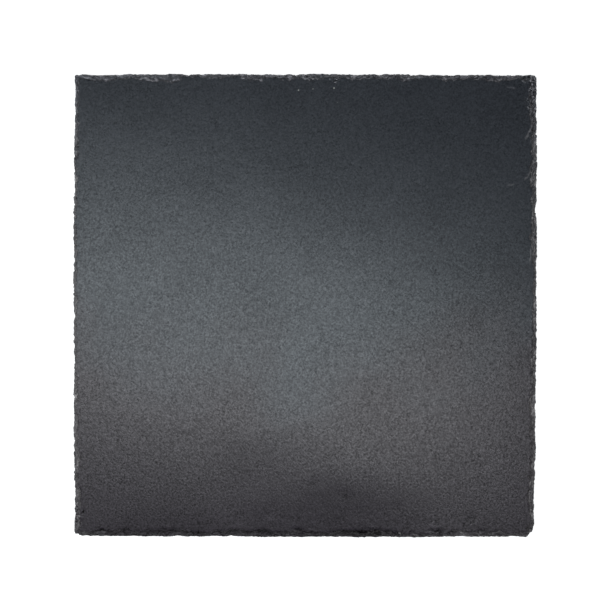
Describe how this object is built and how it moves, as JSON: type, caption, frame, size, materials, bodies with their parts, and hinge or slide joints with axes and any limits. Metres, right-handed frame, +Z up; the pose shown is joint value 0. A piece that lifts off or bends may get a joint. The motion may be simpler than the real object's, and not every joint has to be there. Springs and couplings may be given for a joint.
{
  "type": "stone work slab",
  "caption": "Square split-slate work slab with chipped, bevelled edges, standing on small stick-on rubber feet.",
  "frame": {"origin": "on the bench, under the middle of the slab", "axes": "+Z up out of the working face, -Y towards the front edge, +X to the right seen from above"},
  "size_m": [0.3, 0.3, 0.0097],
  "materials": {
    "slate": "natural cleft, satin",
    "rubber": "matte moulded",
    "adhesive": "pressure-sensitive acrylic film"
  },
  "bodies": {
    "root": {"slab": "slate", "foot_front_left": "rubber", "adhesive_front_left": "adhesive", "foot_front_right": "rubber", "adhesive_front_right": "adhesive", "foot_rear_right": "rubber", "adhesive_rear_right": "adhesive", "foot_rear_left": "rubber", "adhesive_rear_left": "adhesive"}
  },
  "joints": []
}
